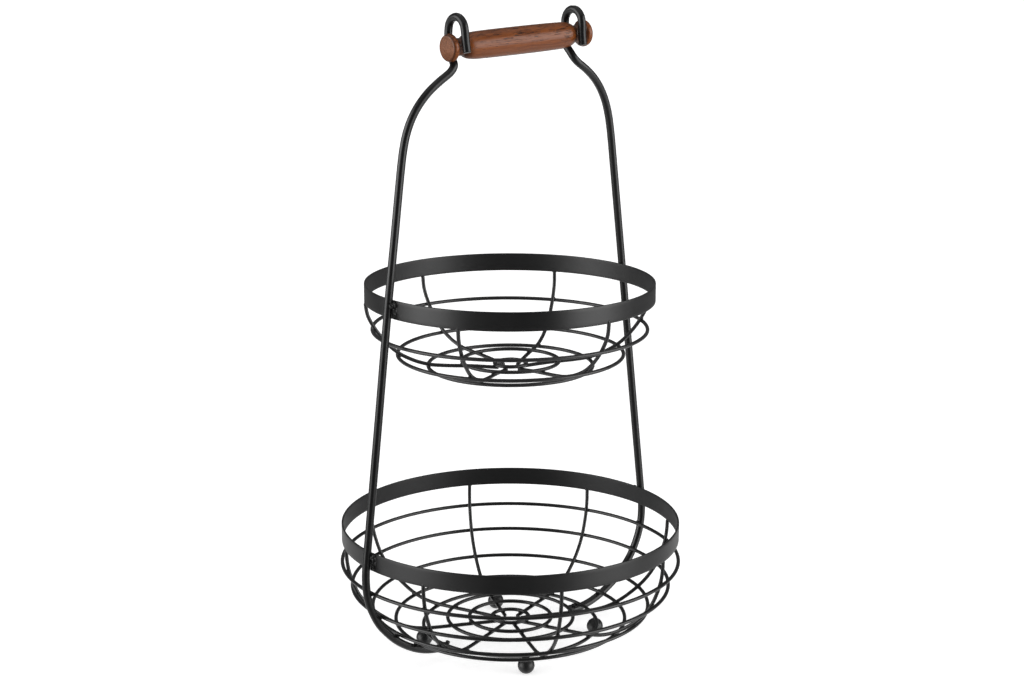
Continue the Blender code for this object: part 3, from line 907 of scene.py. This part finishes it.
# uprights against the rings outside the bowls and under the floor
for name, side in (("left", -1), ("right", 1)):
    line = UPRIGHT_LINES[name]
    top, drawn = BOWLS["lower"][0], BOWLS["lower"][4]
    for k, (node, (r, z)) in enumerate(drawn.items()):
        if "floor" in node:
            continue
        near = [i for i in range(len(line)) if line[i][2] < top]
        d = [math.hypot(math.hypot(line[i][0], line[i][1]) - r,
                        line[i][2] - top - z) for i in near]
        i = near[int(np.argmin(d))]
        dist = min(d)
        if dist > 6.0:
            continue
        radial = unit((line[i][0], line[i][1], 0.0))
        ring_pt = radial * r + UP * (top + z)
        normal = unit(line[i] - ring_pt)
        mid = ring_pt + normal * (THIN + 0.5 * (dist - THIN - THICK))
        a, b, n = basis(normal, (0, 1, 0))
        SPOTS["lower"].add(mid, (a, b, n), (2.5, 2.2, 1.05), 301 + 7 * k,
                           rough=0.14)
    # blob on the end under the ring that carries the feet
    SPOTS["lower"].add(line[0] + UP * 3.1 + np.array([side * 3.0, 0.0, 0.0]),
                       (np.array([0.0, 1, 0]), np.array([1.0, 0, 0]), UP),
                       (2.6, 3.4, 1.3), 351 + side, rough=0.16)
    SPOTS["lower"].add(line[0] + UP * 2.7 - np.array([side * 2.2, 0.0, 0.0]),
                       (np.array([0.0, 1, 0]), np.array([1.0, 0, 0]), UP),
                       (1.7, 1.9, 1.9), 361 + side, rough=0.16)
    # seam of coat where the upright touches each rim
    for rim_r, top, spots in ((LOWER_R, LOWER_Z, SPOTS["lower"]),
                              (UPPER_R, UPPER_Z, SPOTS["upper"])):
        i = int(np.argmin(np.abs(line[:, 2] - (top - 4.0))
                          + (np.abs(line[:, 0]) < 90) * 1000.0))
        y = line[i][1]
        reach = -9.0 if rim_r == UPPER_R else -13.4
        for h in np.linspace(reach, -0.9, 7):
            spots.add(np.array([side * (math.sqrt(rim_r ** 2 - y * y) + 0.12),
                                y, top + h]),
                      (np.array([0.0, 1, 0]), UP, np.array([1.0, 0, 0])),
                      (0.95, 1.5, 0.5), 411 + h, rough=0.04, rings=7,
                      segs=12)

# necks of weld between the feet and their ring
for place, i in FEET.items():
    a = FOOT_PHASE + 90.0 * i
    out = polar(1.0, a, 0.0)
    side = np.cross(UP, out)
    at = polar(FOOT_CIRCLE, a, FOOT_Z + FOOT_R + 0.15)
    SPOTS["lower"].add(at, (side, out, UP), (2.7, 2.1, 1.15), 501 + i,
                       rough=0.10, rings=11, segs=22)
SPOTS["lower"].build("lower_bowl_weld_spots")
SPOTS["upper"].build("upper_bowl_weld_spots")


# ----------------------------------------------------- beads beside the rims
def make_bead(name, side, rim_r, top, node, seed):
    """Lump of weld laid down the corner between an upright and a rim, in a
    few overlapping pools, merged and softened."""
    rng = np.random.default_rng(seed)
    line = UPRIGHT_LINES["left" if side < 0 else "right"]
    bm = bmesh.new()
    # height, distance off the upright, distance off the rim, three radii
    if rim_r == UPPER_R:
        pools = ((-3.9, 0.65, 3.35, 1.95, 2.30, 2.30),
                 (-3.4, 2.50, 1.00, 1.40, 1.40, 1.90),
                 (-1.6, 0.80, 1.00, 1.60, 1.35, 1.30),
                 (-6.3, 0.80, 1.25, 2.05, 1.65, 1.50),
                 (-8.4, 0.35, 0.80, 1.90, 1.10, 1.60),
                 (-10.6, 1.05, 0.40, 1.80, 0.95, 1.45),
                 (-12.3, 0.20, 0.40, 1.30, 0.85, 1.00),
                 (-7.4, 2.20, 0.10, 1.70, 0.70, 2.10),
                 (-5.4, 2.90, 0.05, 1.40, 0.60, 1.60))
    else:
        pools = ((-1.5, 1.50, 1.00, 1.85, 1.35, 1.50),
                 (-3.0, -0.10, 1.80, 1.50, 1.50, 1.60),
                 (-4.6, 1.00, 1.30, 2.00, 1.45, 1.80),
                 (-7.0, 0.60, 0.90, 1.90, 1.15, 1.60),
                 (-9.2, 0.20, 0.60, 1.50, 0.95, 1.55),
                 (-11.6, 0.00, 0.40, 1.10, 0.80, 1.35),
                 (-3.4, 2.60, 0.10, 1.60, 0.75, 2.10),
                 (-7.6, 2.00, 0.05, 1.60, 0.60, 2.20))
    for h, dy, out, sy, sx, sz in pools:
        i = int(np.argmin(np.abs(line[:, 2] - (top + h))
                          + (np.abs(line[:, 0]) < 90) * 1000.0))
        y = line[i][1] + side * (THICK + dy)
        x = math.sqrt(rim_r ** 2 - y * y) + out
        wander = rng.uniform(-0.15, 0.15, 3)
        place = Matrix.Translation(Vector(
            (side * x + wander[0], y + wander[1], top + h + wander[2])) * MM)
        size = Matrix.Diagonal(Vector((sx, sy, sz, 1000.0)) * MM)
        bmesh.ops.create_uvsphere(bm, u_segments=24, v_segments=16,
                                  radius=1.0, matrix=place @ size)
    for k in range(5):                 # spatter and folds on the pools
        h = rng.uniform(-9.5, -0.8)
        y = line[int(np.argmin(np.abs(line[:, 2] - (top + h))
                               + (np.abs(line[:, 0]) < 90) * 1000.0))][1]
        y += side * (THICK + 0.75 + rng.uniform(-0.6, 1.5))
        x = math.sqrt(rim_r ** 2 - y * y) + rng.uniform(1.5, 2.5)
        place = Matrix.Translation(Vector((side * x, y, top + h)) * MM)
        r = rng.uniform(0.45, 0.85)
        size = Matrix.Diagonal(Vector((r, r * 1.3, r, 1000.0)) * MM)
        bmesh.ops.create_uvsphere(bm, u_segments=16, v_segments=10,
                                  radius=1.0, matrix=place @ size)
    mesh = bpy.data.meshes.new(name)
    bm.to_mesh(mesh)
    bm.free()
    obj = bpy.data.objects.new(name, mesh)
    bpy.context.scene.collection.objects.link(obj)
    remesh = obj.modifiers.new("merge", "REMESH")
    remesh.mode = "VOXEL"
    remesh.voxel_size = 0.00018
    soften = obj.modifiers.new("soften", "SMOOTH")
    soften.factor = 0.5
    soften.iterations = 12
    bpy.context.view_layer.update()
    dg = bpy.context.evaluated_depsgraph_get()
    merged = bpy.data.meshes.new_from_object(obj.evaluated_get(dg))
    obj.modifiers.clear()
    obj.data = merged
    co = np.empty(len(merged.vertices) * 3)
    merged.vertices.foreach_get("co", co)
    co = co.reshape(-1, 3)
    mid = co.mean(0)
    d = (co - mid) * 1000
    ripple = (np.sin(2.3 * d[:, 2] + 0.9 * seed) * 0.10
              + np.sin(3.1 * d[:, 1] + 1.9 * d[:, 2] + seed) * 0.09
              + np.sin(4.7 * d[:, 0] + 2.2 * d[:, 2] + 2 * seed) * 0.06)
    out = np.stack([d[:, 0], d[:, 1], np.zeros(len(d))], 1)
    out /= np.maximum(np.linalg.norm(out, axis=1), 0.3)[:, None]
    co += out * ripple[:, None] * MM
    merged.vertices.foreach_set("co", co.ravel())
    merged.update()
    merged.shade_smooth()
    return metal(obj, node)


make_bead("lower_left_weld", -1, LOWER_R, LOWER_Z, "lower_left_weld_bead", 3)
make_bead("lower_right_weld", 1, LOWER_R, LOWER_Z, "lower_right_weld_bead",
          5)
make_bead("upper_left_weld", -1, UPPER_R, UPPER_Z, "upper_left_weld_bead", 7)
make_bead("upper_right_weld", 1, UPPER_R, UPPER_Z, "upper_right_weld_bead",
          9)


# -------------------------------------------------------------- build the grip
def grip_half():
    """(distance from the middle, radius): barrel with a long round shoulder,
    narrow neck in a cove, knob with a bulging side and a flat face."""
    barrel = [(0.0, 11.00), (18.0, 10.95), (34.0, 10.80), (42.0, 10.60),
              (46.0, 10.30), (49.0, 9.85), (51.0, 9.30), (52.5, 8.62),
              (53.6, 7.88), (54.3, 7.28), (54.8, 6.98), (55.4, 6.88)]
    neck = [(56.6, 6.86), (58.4, 6.86)]
    knob = [(60.0, 6.87), (60.9, 6.90), (61.8, 7.12), (62.5, 7.55),
            (63.1, 8.22), (63.55, 9.05), (63.9, 9.80), (64.4, 10.40),
            (65.2, 10.70), (66.2, 10.76), (67.2, 10.60), (68.0, 10.30),
            (68.5, 9.95), (68.80, 9.60), (68.9, 9.25)]
    return barrel, neck, knob


def make_grip():
    barrel, neck, knob = grip_half()
    line = catmull([(u, r, 0.0) for u, r in barrel], 0.6)
    half = [(p[0], p[1]) for p in line]
    half += neck
    line = catmull([(u, r, 0.0) for u, r in knob], 0.3)
    half += [(p[0], p[1]) for p in line]
    half += [(68.9, r) for r in (8.0, 6.0, 4.0, 2.0)]
    profile = [(r, u) for u, r in half]
    left = [(r, -u) for r, u in reversed(profile)]
    prof = [(0.0, -68.9)] + left[:-1] + profile + [(0.0, 68.9)]
    turn = np.array([[0, 0, 1.0], [0, 1.0, 0], [-1.0, 0, 0]])
    obj = lathe("turned_wooden_grip", prof, 144, (turn, np.zeros(3)),
                clip=False)
    obj.matrix_world = Matrix.Translation(GRIP_ORIGIN * MM) @ \
        Matrix.Rotation(-math.radians(GRIP_TILT), 4, "Y")
    return dress(obj, WOOD, "grip", "wooden_grip")


make_grip()

# ---------------------------------------------------------- floor and studio
PHI = math.radians(38.0)
TOWARD = Vector((-math.sin(PHI), -math.cos(PHI), 0.0))    # to the camera
RIGHT = Vector((math.cos(PHI), -math.sin(PHI), 0.0))      # picture's right


def make_floor():
    segs, rings = 96, (0.0, 0.4, 0.8, 1.6, 3.2, 6.4, 12.0)
    verts, faces = [(0.0, 0.0, 0.0)], []
    for r in rings[1:]:
        for k in range(segs):
            a = 2 * math.pi * k / segs
            verts.append((r * math.cos(a), r * math.sin(a), 0.0))
    for k in range(segs):
        faces.append((0, 1 + k, 1 + (k + 1) % segs))
    for i in range(len(rings) - 2):
        for k in range(segs):
            k2 = (k + 1) % segs
            a, b = 1 + i * segs, 1 + (i + 1) * segs
            faces.append((a + k, b + k, b + k2, a + k2))
    mesh = bpy.data.meshes.new("studio_floor")
    mesh.from_pydata(verts, [], faces)
    floor = bpy.data.objects.new("studio_floor", mesh)
    bpy.context.scene.collection.objects.link(floor)
    mat = bpy.data.materials.new("white_paper_floor")
    mat.use_nodes = True
    n = Nodes(mat)
    tooth = n.noise(n.coord, 900.0, 3.0, 0.6)
    n.link(n.ramp(tooth, ((0.3, (0.86, 0.86, 0.86)),
                          (0.7, (0.90, 0.90, 0.90)))),
           n.bsdf.inputs["Base Color"])
    n.bsdf.inputs["Roughness"].default_value = 0.9
    n.bsdf.inputs["Specular IOR Level"].default_value = 0.0
    n.bsdf.inputs["Emission Color"].default_value = (1.0, 1.0, 1.0, 1.0)
    n.bsdf.inputs["Emission Strength"].default_value = 0.63
    n.link(n.bump(tooth, 0.00002), n.bsdf.inputs["Normal"])
    mesh.materials.append(mat)
    floor.visible_glossy = False


make_floor()


def make_studio():
    """White sweep behind, a tall soft light on each side, a darker front."""
    world = bpy.data.worlds.new("studio")
    bpy.context.scene.world = world
    world.use_nodes = True
    nt = world.node_tree
    nt.nodes.clear()

    def add(kind, **props):
        node = nt.nodes.new(kind)
        for k, v in props.items():
            setattr(node, k, v)
        return node

    def math_(op, a, b=None):
        node = add("ShaderNodeMath", operation=op)
        for i, v in enumerate((a, b)):
            if v is None:
                continue
            if isinstance(v, (int, float)):
                node.inputs[i].default_value = v
            else:
                nt.links.new(v, node.inputs[i])
        return node.outputs[0]

    def step(v, a, b, lo=0.0, hi=1.0):
        node = add("ShaderNodeMapRange", interpolation_type="SMOOTHSTEP")
        for name, x in (("From Min", a), ("From Max", b),
                        ("To Min", lo), ("To Max", hi)):
            node.inputs[name].default_value = x
        nt.links.new(v, node.inputs["Value"])
        return node.outputs["Result"]

    def dot(vec, const):
        node = add("ShaderNodeVectorMath", operation="DOT_PRODUCT")
        nt.links.new(vec, node.inputs[0])
        node.inputs[1].default_value = const
        return node.outputs["Value"]

    d = add("ShaderNodeTexCoord").outputs["Generated"]
    front, right, up = dot(d, TOWARD), dot(d, RIGHT), dot(d, (0, 0, 1))
    az = math_("ABSOLUTE", math_("ARCTAN2", right, front))
    az = math_("MULTIPLY", az, 180 / math.pi)
    el = math_("MULTIPLY", math_("ARCSINE", up), 180 / math.pi)

    wide = step(el, -9, -3)                       # the lights are wider above
    far = math_("ADD", math_("MULTIPLY", step(az, 92, 76),
                             math_("SUBTRACT", 1.0, wide)),
                math_("MULTIPLY", step(az, 112, 96), wide))
    box_az = math_("MULTIPLY", step(az, 40, 54), far)
    box_el = math_("MULTIPLY", step(el, -19, -11), step(el, 40, 24))
    box = math_("MULTIPLY", math_("MULTIPLY", box_az, box_el), 4.8)

    back = math_("MULTIPLY", step(az, 118, 142), step(el, 70, 35))
    back = math_("MULTIPLY", back, 0.12)

    low = step(el, -12, -24)                      # table seen in the gloss
    low_az = math_("ADD", 0.20, math_("MULTIPLY", step(az, 12, 62), 0.85))
    low = math_("MULTIPLY", low, low_az)

    top = math_("MULTIPLY", step(el, 38, 62), 0.75)
    total = math_("ADD", math_("ADD", box, back), math_("ADD", low, top))
    total = math_("ADD", total, 0.07)

    lit = add("ShaderNodeBackground")
    nt.links.new(total, lit.inputs["Strength"])
    white = add("ShaderNodeBackground")
    white.inputs["Color"].default_value = (1.0, 1.0, 1.0, 1.0)
    white.inputs["Strength"].default_value = 1.0
    path = add("ShaderNodeLightPath")
    mix = add("ShaderNodeMixShader")
    nt.links.new(path.outputs["Is Camera Ray"], mix.inputs[0])
    nt.links.new(lit.outputs[0], mix.inputs[1])
    nt.links.new(white.outputs[0], mix.inputs[2])
    out = add("ShaderNodeOutputWorld")
    nt.links.new(mix.outputs[0], out.inputs["Surface"])


make_studio()


# --------------------------------------------------------------------- camera
def make_camera():
    data = bpy.data.cameras.new("photo_camera")
    cam = bpy.data.objects.new("photo_camera", data)
    bpy.context.scene.collection.objects.link(cam)
    distance, height = 1.53514, 0.51909 + LOWER_Z * MM
    pitch, yaw, roll, focal = 0.2356, 0.0008, -0.0008, 1939.44
    right0 = Vector((math.cos(yaw), -math.sin(yaw), 0.0))
    level = Vector((math.sin(yaw), math.cos(yaw), 0.0))
    ahead = level * math.cos(pitch) - Vector((0, 0, 1)) * math.sin(pitch)
    up0 = level * math.sin(pitch) + Vector((0, 0, 1)) * math.cos(pitch)
    right = right0 * math.cos(roll) - up0 * math.sin(roll)
    up = right0 * math.sin(roll) + up0 * math.cos(roll)
    axes = Matrix((right, up, -ahead)).transposed().to_4x4()
    turn = Matrix.Rotation(-PHI, 4, "Z")
    cam.matrix_world = turn @ Matrix.Translation(
        Vector((0.0, -distance, height))) @ axes
    data.sensor_width = 36.0
    data.lens = focal * 36.0 / 1024.0
    data.clip_start, data.clip_end = 0.05, 60.0
    bpy.context.scene.camera = cam


make_camera()

scene = bpy.context.scene
scene.view_settings.view_transform = "Standard"
scene.view_settings.look = "None"
scene.view_settings.exposure = 0.0
scene.view_settings.gamma = 1.0
scene.cycles.use_denoising = True
scene.cycles.max_bounces = 8
scene.cycles.sample_clamp_indirect = 8.0
